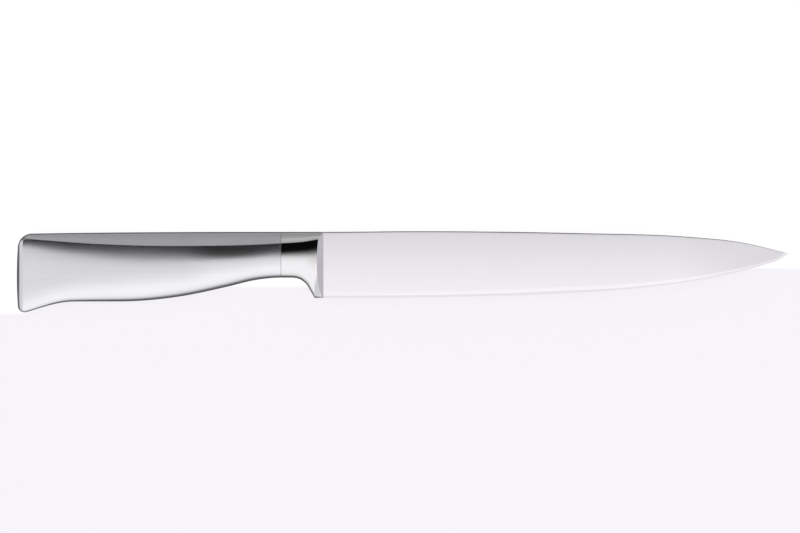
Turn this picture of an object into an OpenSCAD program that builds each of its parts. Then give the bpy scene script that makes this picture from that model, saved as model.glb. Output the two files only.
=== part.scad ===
// Carving knife, all steel. It lies on its left side: +X to the tip, +Y to the spine, +Z up through its thickness.
// Each piece is drawn about the heel of the cutting edge, on the middle plane, and lay() then puts it in its place.
// x runs ahead of the heel along the blade, and u runs behind it along the bolster and the handle.

/* [Blade] */
// Length of the blade, from the bolster to the tip
blade_l = 200; // [150:5:260]
// Height of the blade at the heel, from edge to spine
blade_h = 28.4; // [26:0.2:34]
// Drop of the tip below the spine at the heel
tip_drop = 9.2; // [4:0.2:14]
// Height of the blunt end at the tip
tip_land = 0.3; // [0.1:0.05:0.6]
// Thickness of the spine at the heel
spine_t = 2.4; // [1.8:0.1:3.2]
// Thickness just above the cutting bevel at the heel
edge_t = 0.44; // [0.3:0.02:0.8]
// Thickness of the blade at the tip
tip_t = 0.6; // [0.4:0.05:1.2]
// Share of the blade where its sides start to thin towards the tip
taper_from = 0.5; // [0.2:0.05:0.7]
// Angle of each side of the cutting bevel
bevel_angle = 15; // [11:1:22]

/* [Bolster and finger guard] */
// Length of the bolster, from the blade to the handle
bolster_l = 18.3; // [16:0.1:30]
// Slope of the ramp from the side of the blade up to the bolster
ramp_angle = 56; // [46:1:62]
// Length of the flat foot of the finger guard
guard_foot = 3.8; // [3:0.1:6]
// Width of the flat foot of the finger guard
foot_w = 1.6; // [1:0.1:3]
// Slope of the back of the finger guard
guard_angle = 60; // [50:1:70]
// Radius of the throat where the finger lies
throat_r = 7.8; // [5:0.1:9]

/* [Handle] */
// Length of the bolster and the handle together
handle_l = 132; // [115:0.2:150]
// Height of the neck, where the handle meets the bolster
neck_h = 19.7; // [17:0.1:22]
// Height of the grip in the palm
grip_h = 29.7; // [24:0.1:34]
// Height of the butt, before its corners are rounded
butt_h = 34.8; // [28:0.1:38]
// Drop of the back of the handle at the butt
back_drop = 0.85; // [0:0.05:3]
// Width of the flat ridge along the back, at the neck
ridge_w = 2.8; // [2:0.1:4]
// Width of the flat ridge along the back, at the butt
ridge_butt_w = 9; // [6:0.1:10]
// Tilt of the facet on each side of the ridge
facet_angle = 45; // [40:1:50]
// Depth of the crest below the back, at the front of the bolster
crest_front = 3.1; // [2:0.1:5]
// Depth of the crest below the back, at the neck
crest_neck = 4.9; // [3:0.1:6]
// Depth of the crest below the back, in the palm
crest_grip = 6; // [4:0.1:7]
// Depth of the crest below the back, at the butt
crest_butt = 1.9; // [1.5:0.1:4]
// Depth of the widest line below the back, on the bolster
wide_bolster = 10.8; // [9:0.1:13]
// Depth of the widest line below the back, in the palm
wide_grip = 13.2; // [10:0.1:17]
// Depth of the widest line below the back, at the butt
wide_butt = 5.6; // [5:0.1:16]
// How far the widest line stands out beyond the crest, on the bolster
swell_bolster = 0.6; // [0.3:0.05:1.5]
// How far the widest line stands out beyond the crest, behind the neck
swell_neck = 1.1; // [0.3:0.05:2]
// How far the widest line stands out beyond the crest, in the palm
swell_grip = 0.68; // [0.3:0.02:2]
// How far the widest line stands out beyond the crest, at the butt
swell_butt = 0.25; // [0.1:0.05:1.5]
// How late the side turns in towards the crest at the butt, where 2 is a parabola
side_fullness = 2.4; // [2:0.1:4]
// Fullness of the lower side at the finger guard, where 1 is a straight wedge and 2 an ellipse
guard_fullness = 1.45; // [1.3:0.05:2]
// Fullness of the lower side at the throat and the neck
neck_fullness = 4; // [2:0.1:5]
// Fullness of the lower side in the palm
belly_fullness = 4.6; // [2.5:0.1:8]
// Fullness of the lower side at the butt
butt_fullness = 10; // [3:0.5:12]
// Lean of the lower side of the bolster and the neck before it rounds
neck_slant = 3.2; // [0:0.1:5]
// Lean of the lower side in the palm before it rounds
belly_slant = 2.4; // [0:0.1:4]
// Radius of the top corner of the butt, seen from the side
top_corner_r = 6; // [4:0.5:10]
// Radius of the bottom corner of the butt, seen from the side
low_corner_r = 4; // [3.6:0.2:8]
// Radius of the rim round the end, seen from above
rim_r = 2.5; // [1:0.1:3]
// Height of the shallow dome on the end
dome_h = 0.4; // [0.1:0.1:1]

/* [Shells and end cap] */
// Wall of the pressed handle shells
wall_t = 1.2; // [0.8:0.1:1.6]
// Clearance between a plug and the inside of the shells
plug_gap = 0.1; // [0.05:0.05:0.3]
// Length of the spigot behind the bolster that plugs the shells
spigot_l = 7; // [4:0.5:12]
// Length of the end cap that shows behind the shells
cap_l = 3.5; // [3:0.1:4]
// Length of the plug on the end cap
cap_plug_l = 4; // [2:0.5:8]

/* [Tang and balance weight] */
// Thickness of the tang
tang_t = 3; // [2:0.1:5]
// Height of the tang at the spigot
tang_h = 12; // [8:0.5:14]
// Height of the tang at its rear end
tang_end_h = 7; // [4:0.5:10]
// Length of the balance weight
weight_l = 20; // [16:1:40]
// Depth of the slot in the weight that takes the end of the tang
slot_l = 12; // [6:0.5:14]
// Clearance between the tang and its slot
slot_gap = 0.15; // [0.05:0.05:0.4]
// Clearance between the weight and the inside of the shells
weight_gap = 0.3; // [0.1:0.1:0.8]
// Chamfer on both ends of the weight
weight_chamfer = 1; // [0.5:0.1:2]

/* [Hidden] */

// Stations along each piece, and points on each stretch of a section
blade_steps = 40;
throat_steps = 12;
handle_steps = 34;
rim_steps = 7;
side_steps = 5;
belly_steps = 14;
half_points = side_steps + belly_steps + 4;

// Places behind the heel
end_u = handle_l - dome_h;
cap_u = handle_l - cap_l;
cap_plug_u = cap_u - cap_plug_l;
weight_u = cap_plug_u - weight_l;
spigot_end_u = bolster_l + spigot_l;
tang_end_u = weight_u + slot_l;
shell_l = handle_l - bolster_l;

// The tip, and the taper of the blade in height and in length
tip_y = blade_h - tip_drop;
wedge_slope = (spine_t - edge_t) / 2 / blade_h;
taper_x = taper_from * blade_l;
taper_slope = (edge_t / 2 + wedge_slope * tip_y - tip_t / 2) / (blade_l - taper_x);

// The stock that the sides of the blade are ground from, and the reach of the bevel into it
stock_t = 2 * spine_t;
bevel_reach = 3;
waste_h = 30;

// Lean of the side just under the crest, and the direction in which a wall is drawn in at the crest
side_lean = 21;
crest_turn = (facet_angle + side_lean) / 2;

// Least share of the crest's depth in the top corner, least depth of the widest line there, and how softly the
// lower side starts to lean
crest_floor = 0.15;
wide_floor = 2.5;
slant_soft = 0.15;

// Step over which the rise of the edge is taken, and the most of a section's height that the bevel takes
slope_step = 0.5;
bevel_share = 0.9;

function mix(a, b, share) = a + (b - a) * share;

// A smooth curve through the points p, level at its first point and at each turning point
function chord(p, i) = (p[i + 1][1] - p[i][1]) / (p[i + 1][0] - p[i][0]);
function span(p, i) = p[i + 1][0] - p[i][0];
function slope(p, i) =
    i == 0 ? 0 :
    i == len(p) - 1 ? chord(p, i - 1) :
    chord(p, i - 1) * chord(p, i) <= 0 ? 0 :
    (chord(p, i - 1) * span(p, i) + chord(p, i) * span(p, i - 1)) / (span(p, i - 1) + span(p, i));
function curve(p, at, i = 0) =
    i < len(p) - 2 && at > p[i + 1][0] ? curve(p, at, i + 1) :
    let (t = (at - p[i][0]) / span(p, i))
        (2 * pow(t, 3) - 3 * pow(t, 2) + 1) * p[i][1]
        + (pow(t, 3) - 2 * pow(t, 2) + t) * span(p, i) * slope(p, i)
        + (3 * pow(t, 2) - 2 * pow(t, 3)) * p[i + 1][1]
        + (pow(t, 3) - pow(t, 2)) * span(p, i) * slope(p, i + 1);

// Spine and edge of the blade, as shares of its length and of the drop and rise of its tip
spine_line = [[0, 0], [0.2, -0.03], [0.55, 0.06], [0.78, 0.225], [0.9, 0.495], [1, 1]];
edge_line = [[0, 0], [0.3, 0.028], [0.5, 0.095], [0.7, 0.25], [0.85, 0.49], [0.95, 0.755], [0.98, 0.865], [1, 1]];
function spine_y(x) = blade_h - tip_drop * curve(spine_line, x / blade_l);
function edge_y(x) = (tip_y - tip_land) * curve(edge_line, x / blade_l);
function edge_slope(x) = (edge_y(x) - edge_y(x - slope_step)) / slope_step;

// How far a corner of radius r has drawn the outline in at u
function corner_in(u, r) = u <= end_u - r ? 0 : r - sqrt(max(0, r * r - pow(u - end_u + r, 2)));

// Back of the handle
function back_y(u) = blade_h - back_drop * pow(u / handle_l, 3);
function top_y(u) = back_y(u) - corner_in(u, top_corner_r);

// Belly of the handle: a swell in the palm and a flare at the butt
height_line = [
    [bolster_l, neck_h],
    [bolster_l + 0.1 * shell_l, mix(neck_h, grip_h, 0.11)],
    [bolster_l + 0.2 * shell_l, mix(neck_h, grip_h, 0.38)],
    [bolster_l + 0.4 * shell_l, mix(neck_h, grip_h, 0.83)],
    [bolster_l + 0.6 * shell_l, grip_h],
    [bolster_l + 0.79 * shell_l, mix(grip_h, butt_h, -0.03)],
    [handle_l, butt_h]];
neck_y = blade_h - neck_h;
straight_top = neck_y - throat_r * (1 - cos(guard_angle));
straight_u = guard_foot + straight_top / tan(guard_angle);
throat_u = straight_u + throat_r * sin(guard_angle);
function guard_y(u) =
    u <= guard_foot ? 0 :
    u <= straight_u ? (u - guard_foot) * tan(guard_angle) :
    neck_y - throat_r + sqrt(throat_r * throat_r - pow(throat_u - u, 2));
function bottom_y(u) =
    u <= throat_u ? guard_y(u) :
    u <= bolster_l ? neck_y :
    back_y(u) - curve(height_line, u) + back_drop * pow(bolster_l / handle_l, 3) + corner_in(u, low_corner_r);

// Ridge, crest, widest line and swell of the bolster and the handle
function at(share) = bolster_l + share * shell_l;
ridge_line = [
    [0, spine_t / 2],
    [bolster_l, ridge_w / 2],
    [at(0.5), mix(ridge_w, ridge_butt_w, 0.26) / 2],
    [handle_l, ridge_butt_w / 2]];
crest_line = [
    [0, crest_front],
    [bolster_l / 2, mix(crest_front, crest_neck, 0.67)],
    [bolster_l, crest_neck],
    [at(0.4), crest_grip],
    [at(0.7), mix(crest_grip, crest_butt, 0.28)],
    [handle_l, crest_butt]];
wide_line = [
    [0, wide_bolster],
    [bolster_l, wide_bolster],
    [at(0.15), mix(wide_bolster, wide_grip, 0.45)],
    [at(0.3), mix(wide_bolster, wide_grip, 0.8)],
    [at(0.5), wide_grip],
    [at(0.7), mix(wide_grip, wide_butt, 0.2)],
    [at(0.85), mix(wide_grip, wide_butt, 0.5)],
    [handle_l, wide_butt]];
swell_line = [
    [0, swell_bolster],
    [bolster_l, mix(swell_bolster, swell_neck, 0.1)],
    [at(0.17), swell_neck],
    [at(0.36), swell_grip],
    [at(0.8), mix(swell_grip, swell_butt, 0.5)],
    [handle_l, swell_butt]];
function crest_depth(u) =
    curve(crest_line, u) * max(crest_floor, pow(1 - corner_in(u, top_corner_r) / top_corner_r, 2));
function crest_z(u) = curve(ridge_line, u) + curve(crest_line, u) * tan(facet_angle);
function half_w(u) = crest_z(u) + curve(swell_line, u);
function wide_depth(u) = max(curve(wide_line, u), corner_in(u, top_corner_r) + wide_floor);

// How full the side and the belly are, and the slant of the belly
lean_line = [[0, 2], [bolster_l, 2], [handle_l, side_fullness]];
full_line = [
    [0, guard_fullness],
    [0.45 * bolster_l, neck_fullness],
    [bolster_l, neck_fullness],
    [at(0.2), mix(neck_fullness, belly_fullness, 0.05)],
    [at(0.4), mix(neck_fullness, belly_fullness, 0.85)],
    [at(0.7), mix(belly_fullness, butt_fullness, 0.2)],
    [handle_l, butt_fullness]];
slant_line = [
    [0, 0],
    [0.45 * bolster_l, tan(neck_slant)],
    [at(0.15), tan(neck_slant)],
    [at(0.35), tan(belly_slant)],
    [handle_l, 0.8 * tan(belly_slant)]];
function slanted(down) = down - slant_soft * (1 - exp(-down / slant_soft));

// Half of a section at u as [y, z] points, from the ridge down to the belly, drawn in by inset all round
function half_section(u, inset = 0) =
    let (
        top = top_y(u) - inset,
        low = bottom_y(u) + inset,
        ridge = curve(ridge_line, u) - inset * tan(facet_angle / 2),
        crest = [top_y(u) - crest_depth(u) - inset * sin(crest_turn), crest_z(u) - inset * cos(crest_turn)],
        wide = [back_y(u) - wide_depth(u), half_w(u) - inset],
        rim = 1 - corner_in(u, rim_r) / half_w(u))
    concat(
        [[top, 0], [top, ridge * rim]],
        [for (i = [0:side_steps - 1])
            let (share = 1 - i / side_steps)
            [mix(wide[0], crest[0], share), mix(wide[1], crest[1], pow(share, curve(lean_line, u))) * rim]],
        [for (i = [0:belly_steps])
            let (p = belly(u, 90 * i / belly_steps, wide, low))
            [p[0], p[1] * rim]],
        [[low, 0]]);

// A point of the lower side at an even polar angle: a quarter of a superellipse from the widest line to the foot
function belly(u, turn, wide, low) =
    let (
        power = curve(full_line, u),
        reach = pow(pow(sin(turn), power) + pow(cos(turn), power), 1 / power),
        down = sin(turn) / reach,
        slant = curve(slant_line, u) * (wide[0] - low),
        foot = foot_w / 2)
    [mix(wide[0], low, down),
     mix(foot, wide[1] - slant * slanted(1), cos(turn) / reach) + slant * (slanted(1) - slanted(down))];

// Half of a section of the blade before its sides are ground, with the bevel at the bottom
function half_stock(x) =
    let (
        top = spine_y(x),
        low = edge_y(x),
        reach = min(bevel_reach, bevel_share * (top - low)),
        bevel_z = reach * tan(bevel_angle) / sqrt(1 + pow(edge_slope(x), 2)))
    [[top, 0], [top, stock_t / 2], [low + reach, stock_t / 2], [low + reach, bevel_z], [low, 0]];

// A closed ring at x from half a section, and the ring of a handle section shrunk about its middle
function ring(x, half) = concat(
    [for (p = half) [x, p[0], p[1]]],
    [for (i = [len(half) - 2:-1:1]) [x, half[i][0], -half[i][1]]]);
function shrunk(half, share) =
    let (middle = (half[0][0] + half[len(half) - 1][0]) / 2)
    [for (p = half) [mix(middle, p[0], share), p[1] * share]];

// Triangles between neighbouring rings of n points
function bands(count, n) = [
    for (i = [0:count - 2], j = [0:n - 1], side = [0, 1])
        let (a = i * n + j, b = i * n + (j + 1) % n)
        side == 0 ? [a, b + n, a + n] : [a, b, b + n]];

// A solid skin over rings, with flat ends
module solid_skin(rings) {
    n = len(rings[0]);
    last = (len(rings) - 1) * n;
    ends = [[for (j = [0:n - 1]) (n - j) % n], [for (j = [0:n - 1]) last + j]];
    polyhedron([for (r = rings) each r], concat(bands(len(rings), n), ends));
}

// A trough over half rings of wall_t, open towards the middle plane, with flat ends
module trough(stations) {
    rings = [for (u = stations) concat(
        [for (p = half_section(u)) [-u, p[0], p[1]]],
        [for (i = [half_points - 1:-1:0]) let (p = half_section(u, wall_t)[i]) [-u, p[0], p[1]]])];
    n = 2 * half_points;
    last = (len(rings) - 1) * n;
    ends = [
        for (j = [0:half_points - 2], side = [0, 1])
            let (a = j, b = j + 1, c = n - 2 - j, d = n - 1 - j)
            each side == 0
                ? [[a, c, b], [last + a, last + b, last + c]]
                : [[a, d, c], [last + a, last + c, last + d]]];
    polyhedron([for (r = rings) each r], concat(bands(len(rings), n), ends));
}

blade_xs = concat([for (i = [0:blade_steps - 1]) blade_l * cos(90 * i / blade_steps)], [0]);
guard_us = concat(
    [0, guard_foot / 2],
    [for (i = [0:throat_steps]) mix(guard_foot, throat_u, i / throat_steps)],
    [mix(throat_u, bolster_l, 0.5), bolster_l]);
shell_us = [for (i = [0:handle_steps]) mix(bolster_l, cap_u, i / handle_steps)];
rim_us = [for (i = [0:rim_steps]) mix(cap_u, end_u, sin(90 * i / rim_steps))];

// Middle of the whole knife, which lay() puts on the origin, with the widest line of the handle on the ground
mid_x = (blade_l - handle_l) / 2;
mid_y = (max([for (x = blade_xs) spine_y(x)]) + min([for (u = concat(shell_us, rim_us)) bottom_y(u)])) / 2;
mid_z = max([for (u = shell_us) half_w(u)]);
module lay() {
    translate([-mid_x, -mid_y, mid_z])
        children();
}

// Blade, bolster, finger guard and spigot, before the sides of the blade are ground
module forging() {
    solid_skin([for (x = blade_xs) ring(x, half_stock(x))]);
    solid_skin(concat(
        [for (u = guard_us) ring(-u, half_section(u))],
        [for (i = [0:2]) let (u = bolster_l + spigot_l * i / 2) ring(-u, half_section(u, wall_t + plug_gap))]));
}

// What is ground off one side: the ramp, the flat of the blade and its thinning towards the tip
module ground_side() {
    past_tip = blade_l + 5;
    translate([0, 0, edge_t / 2])
        rotate([atan(wedge_slope) + 90, 0, 0])
            linear_extrude(height = 4 * blade_h, center = true)
                polygon([
                    [-waste_h / tan(ramp_angle), waste_h],
                    [0, 0],
                    [taper_x, 0],
                    [past_tip, (taper_x - past_tip) * taper_slope],
                    [past_tip, waste_h]]);
}

// The tang, or the slot that takes it when it is drawn larger by gap
function tang_mid(u) = (top_y(u) + bottom_y(u)) / 2;
module tang(gap = 0) {
    root_u = spigot_end_u - spigot_l / 2;
    root_h = tang_h / 2 + gap;
    end_h = tang_end_h / 2 + gap;
    linear_extrude(height = tang_t + 2 * gap, center = true)
        polygon([
            [-root_u, tang_mid(root_u) - root_h],
            [-root_u, tang_mid(root_u) + root_h],
            [-tang_end_u - gap, tang_mid(tang_end_u) + end_h],
            [-tang_end_u - gap, tang_mid(tang_end_u) - end_h]]);
}

module blade() {
    color("gainsboro") lay() {
        difference() {
            forging();
            ground_side();
            mirror([0, 0, 1]) ground_side();
        }
        tang();
    }
}

module handle_shell_right() {
    color("silver") lay() trough(shell_us);
}

module handle_shell_left() {
    color("silver") lay() mirror([0, 0, 1]) trough(shell_us);
}

module end_cap() {
    plug = wall_t + plug_gap;
    end_half = half_section(end_u);
    color("silver") lay() solid_skin(concat(
        [ring(-cap_plug_u, half_section(cap_plug_u, plug)), ring(-cap_u, half_section(cap_u, plug))],
        [for (u = rim_us) ring(-u, half_section(u))],
        [for (i = [1, 2]) ring(-end_u - dome_h * sin(45 * i), shrunk(end_half, 1 - i / 3))]));
}

module balance_weight() {
    inset = wall_t + weight_gap;
    front_u = weight_u + weight_chamfer;
    back_u = cap_plug_u - weight_chamfer;
    color("dimgray") lay() difference() {
        solid_skin(concat(
            [ring(-weight_u, half_section(weight_u, inset + weight_chamfer))],
            [for (i = [0:4]) let (u = mix(front_u, back_u, i / 4)) ring(-u, half_section(u, inset))],
            [ring(-cap_plug_u, half_section(cap_plug_u, inset + weight_chamfer))]));
        tang(slot_gap);
    }
}

blade();
handle_shell_right();
handle_shell_left();
end_cap();
balance_weight();
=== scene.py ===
"""Dresses the carving knife: smooth skins for blade, handle and end cap, their steels, and the studio.

Lengths inside the shape functions are millimetres about the heel of the cutting edge, on the middle
plane: x runs ahead of the heel along the blade, u runs behind it along the bolster and the handle, y goes
up to the spine and z out of the right side. to_frame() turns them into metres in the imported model's frame.
"""

import math
from types import SimpleNamespace

import bmesh
import bpy
import numpy as np
from bpy.props import FloatProperty, FloatVectorProperty, PointerProperty
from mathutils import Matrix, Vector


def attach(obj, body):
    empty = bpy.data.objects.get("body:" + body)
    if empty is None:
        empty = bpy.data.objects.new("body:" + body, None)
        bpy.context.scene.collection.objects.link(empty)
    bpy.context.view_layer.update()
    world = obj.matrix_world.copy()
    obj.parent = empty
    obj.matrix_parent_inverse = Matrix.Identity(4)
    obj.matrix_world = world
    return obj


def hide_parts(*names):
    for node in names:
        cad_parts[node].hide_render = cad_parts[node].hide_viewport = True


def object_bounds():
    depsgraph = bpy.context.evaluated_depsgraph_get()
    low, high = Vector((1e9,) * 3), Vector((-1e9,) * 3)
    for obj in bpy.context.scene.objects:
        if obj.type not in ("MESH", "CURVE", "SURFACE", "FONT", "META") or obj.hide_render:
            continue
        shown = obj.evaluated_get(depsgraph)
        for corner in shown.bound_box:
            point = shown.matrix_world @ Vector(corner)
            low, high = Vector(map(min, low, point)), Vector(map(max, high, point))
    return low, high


bl_info = {
    "name": "Carving knife",
    "version": (1, 0, 0),
    "blender": (4, 5, 0),
    "location": "3D View > Sidebar > Knife",
    "description": "Builds the smooth skins, steel finishes and studio of an all-steel carving knife",
    "category": "Object",
}

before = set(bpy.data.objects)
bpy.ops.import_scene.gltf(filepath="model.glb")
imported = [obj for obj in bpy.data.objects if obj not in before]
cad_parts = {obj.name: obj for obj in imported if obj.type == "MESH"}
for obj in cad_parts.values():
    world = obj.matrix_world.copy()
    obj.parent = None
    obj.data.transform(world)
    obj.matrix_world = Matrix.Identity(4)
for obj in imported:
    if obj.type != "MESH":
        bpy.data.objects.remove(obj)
CAD_BOX = [list(corner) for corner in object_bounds()]

MM = 0.001
# Points nearer to each other than this many metres are one point
SAME_PLACE = 1e-7
BODY = "root"


# Sizes and finishes that a user would change


def length(name, text, value):
    """A length property whose default is given in millimetres."""
    return FloatProperty(
        name=name, description=text, default=value * MM, min=0, precision=5,
        unit="LENGTH", subtype="DISTANCE",
    )


def angle(name, text, value):
    """An angle property whose default is given in degrees."""
    return FloatProperty(
        name=name, description=text, default=math.radians(value), unit="ROTATION", subtype="ANGLE",
    )


def place(name, text, value):
    """A place along an axis, given in millimetres, which may be below zero."""
    return FloatProperty(name=name, description=text, default=value * MM, precision=5, unit="LENGTH")


def share(name, text, value, high=1.0):
    """A plain number from 0 to high."""
    return FloatProperty(name=name, description=text, default=value, min=0, max=high, precision=3)


def tint(name, text, value):
    """A colour property."""
    return FloatVectorProperty(name=name, description=text, default=value, min=0, max=2, subtype="COLOR")


class BladeSizes(bpy.types.PropertyGroup):
    blade_l: length("Length", "Length of the blade, from the bolster to the tip", 200)
    blade_h: length("Height", "Height of the blade at the heel, from edge to spine", 28.4)
    tip_drop: length("Tip drop", "Drop of the tip below the spine at the heel", 9.2)
    tip_land: length("Tip height", "Height of the blunt end at the tip", 0.3)
    spine_t: length("Spine", "Thickness of the spine at the heel", 2.4)
    edge_t: length("Edge", "Thickness just above the cutting bevel at the heel", 0.44)
    tip_t: length("Tip thickness", "Thickness of the blade at the tip", 0.6)
    spine_round: length("Spine rounding", "Rounding of both corners of the spine", 0.4)
    flank_swell: length("Flank swell", "How far the side of the blade bows out half way up", 0.14)
    taper_from: share("Taper start", "Share of the blade past which its sides thin to the tip", 0.5)
    bevel_angle: angle("Bevel", "Angle of each side of the cutting bevel", 15)


class HandleSizes(bpy.types.PropertyGroup):
    bolster_l: length("Bolster", "Length of the bolster, from the blade to the handle", 18.3)
    ramp_angle: angle("Ramp", "Slope of the ramp from the side of the blade up to the bolster", 56)
    guard_foot: length("Guard foot", "Length of the flat foot of the finger guard", 3.8)
    foot_w: length("Foot width", "Width of the flat foot of the finger guard", 1.6)
    guard_angle: angle("Guard slope", "Slope of the back of the finger guard", 60)
    throat_r: length("Throat radius", "Radius of the throat where the finger lies", 7.8)
    handle_l: length("Length", "Length of the bolster and the handle together", 132)
    neck_h: length("Neck height", "Height where the handle meets the bolster", 19.7)
    grip_h: length("Grip height", "Height of the grip in the palm", 29.7)
    butt_h: length("Butt height", "Height of the butt without its roundings", 34.8)
    back_drop: length("Back drop", "Drop of the back of the handle at the butt", 0.85)
    ridge_w: length("Ridge width", "Width of the flat ridge, at the neck", 2.8)
    ridge_butt_w: length("Ridge width at butt", "Width of the flat ridge, at the butt", 9)
    facet_angle: angle("Facet tilt", "Tilt of the facet on each side of the ridge", 45)
    crest_front: length("Crest at front", "Crest below the back, at the bolster's front", 3.1)
    crest_neck: length("Crest at neck", "Crest below the back, at the neck", 4.9)
    crest_grip: length("Crest in palm", "Crest below the back, in the palm", 6)
    crest_butt: length("Crest at butt", "Crest below the back, at the butt", 1.9)
    wide_bolster: length("Widest on bolster", "Widest line below the back, on the bolster", 10.8)
    wide_grip: length("Widest in palm", "Widest line below the back, in the palm", 13.2)
    wide_butt: length("Widest at butt", "Widest line below the back, at the butt", 5.6)
    swell_bolster: length("Swell of bolster", "Side beyond the crest, on the bolster", 0.6)
    swell_neck: length("Swell behind neck", "Side beyond the crest, behind the neck", 1.1)
    swell_grip: length("Swell in palm", "Side beyond the crest, in the palm", 0.68)
    swell_butt: length("Swell at butt", "Side beyond the crest, at the butt", 0.25)
    guard_fullness: share("Guard fullness", "Fullness of the lower side at the finger guard", 1.45, 8)
    neck_fullness: share("Neck fullness", "Fullness of the lower side at the throat and the neck", 4, 8)
    belly_fullness: share("Belly fullness", "Fullness of the lower side in the palm", 4.6, 8)
    butt_fullness: share("Butt fullness", "Fullness of the lower side at the butt", 10, 12)
    neck_slant: angle("Neck slant", "Lean of the lower side at the neck before it rounds", 3.2)
    belly_slant: angle("Belly slant", "Lean of the lower side in the palm before it rounds", 2.4)
    side_fullness: share("Side fullness", "How late the side turns in towards the crest at the butt", 2.4, 4)
    top_corner_r: length("Top corner", "Radius of the butt's top corner, seen from the side", 6)
    low_corner_r: length("Bottom corner", "Radius of the butt's bottom corner, seen from the side", 4)
    rim_r: length("Rim", "Radius of the rim round the end, seen from above", 2.5)
    dome_h: length("Dome", "Height of the shallow dome on the end", 0.4)
    wall_t: length("Shell wall", "Wall of the pressed handle shells", 1.2)
    plug_gap: length("Plug clearance", "Clearance between a plug and the inside of the shells", 0.1)
    spigot_l: length("Spigot", "Length of the spigot that plugs the shells", 7)
    cap_l: length("End cap", "Length of the end cap that shows behind the shells", 3.5)
    cap_plug_l: length("End cap plug", "Length of the plug on the end cap", 4)
    tang_t: length("Tang thickness", "Thickness of the tang", 3)
    tang_h: length("Tang height", "Height of the tang at the spigot", 12)
    tang_end_h: length("Tang end height", "Height of the tang at its rear end", 7)
    tang_end: length("Tang end", "How far behind the heel the tang ends", 116.5)
    ridge_round: length("Ridge rounding", "Rounding of the corners of the ridge", 1.0)
    crest_round: length("Crest rounding", "Rounding of the crest between facet and side", 0.3)
    facet_hollow: share("Facet hollow", "How far a facet is hollowed, as a share of its width", 0.012)
    seam_in: length("Seam", "Depth of the hairline seam between the bolster and the shells", 0.1)


class SteelFinish(bpy.types.PropertyGroup):
    polished: tint("Polished steel", "Colour of the polished bolster", (0.765, 0.753, 0.768))
    ground: tint("Ground steel", "Colour of the fine ground blade", (0.81, 0.787, 0.826))
    whetted: tint("Whetted steel", "Colour of the cutting bevel", (0.69, 0.675, 0.70))
    satin: tint("Satin steel", "Colour of the satin handle", (0.79, 0.782, 0.82))
    raw: tint("Raw steel", "Colour of the balance weight inside the handle", (0.30, 0.30, 0.31))
    rim_tint: tint("Grazing tint", "Tint of the steel seen at a grazing angle", (0.8, 0.8, 0.8))
    polished_rough: share("Polished roughness", "Roughness of the polished bolster", 0.07)
    ground_rough: share("Ground roughness", "Roughness of the ground blade", 0.1)
    # Painted shade: how much darker the ground blade's colour is painted towards the tip, where the light
    # falls off
    painted_tip_shade: share("Tip shade", "How much darker the finer grind at the tip looks", 0.33)
    satin_rough: share("Satin roughness", "Roughness of the satin handle", 0.25)
    raw_rough: share("Raw roughness", "Roughness of the balance weight", 0.55)


class StudioLight(bpy.types.PropertyGroup):
    floor: tint("Floor", "Colour that the floor adds under the lamps", (0.12, 0.12, 0.12))
    paper: tint("Paper", "Glow of the white paper behind the knife", (0.93, 0.93, 0.93))
    paper_low: tint("Lower paper", "Glow of the pale paper below the knife's edge", (0.812, 0.788, 0.836))
    view_w: length("View width", "Width that the camera sees", 344.5)
    view_x: place("View X", "Middle of the picture along the knife", -1.02)
    view_y: place("View Y", "Middle of the picture across the knife", 2.27)


# Shapes


def curve(points, at):
    """A smooth curve through the points: cubic Hermite pieces, level at the first point and at each turning
    point. The last slope is that of the last chord, and the others are weighted means of the chords beside
    them."""
    x, y = np.array(points, float).T
    span = np.diff(x)
    chord = np.diff(y) / span
    inner = (chord[:-1] * span[1:] + chord[1:] * span[:-1]) / (span[1:] + span[:-1])
    slope = np.concatenate([[0], np.where(chord[:-1] * chord[1:] <= 0, 0, inner), [chord[-1]]])
    i = np.clip(np.searchsorted(x, at, side="left") - 1, 0, len(x) - 2)
    t = (at - x[i]) / span[i]
    return (
        (2 * t**3 - 3 * t**2 + 1) * y[i]
        + (t**3 - 2 * t**2 + t) * span[i] * slope[i]
        + (3 * t**2 - 2 * t**3) * y[i + 1]
        + (t**3 - t**2) * span[i] * slope[i + 1]
    )


def mix(a, b, part):
    """The value that lies that part of the way from a to b."""
    return a + (b - a) * part


def bend(a, b, c, t):
    """A rounded corner: the quadratic curve from a to c that is drawn towards the corner b."""
    return (1 - t) ** 2 * a + 2 * t * (1 - t) * b + t**2 * c


def smooth(t):
    """0 to 1 with level ends."""
    t = np.clip(t, 0, 1)
    return t * t * (3 - 2 * t)


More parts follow.
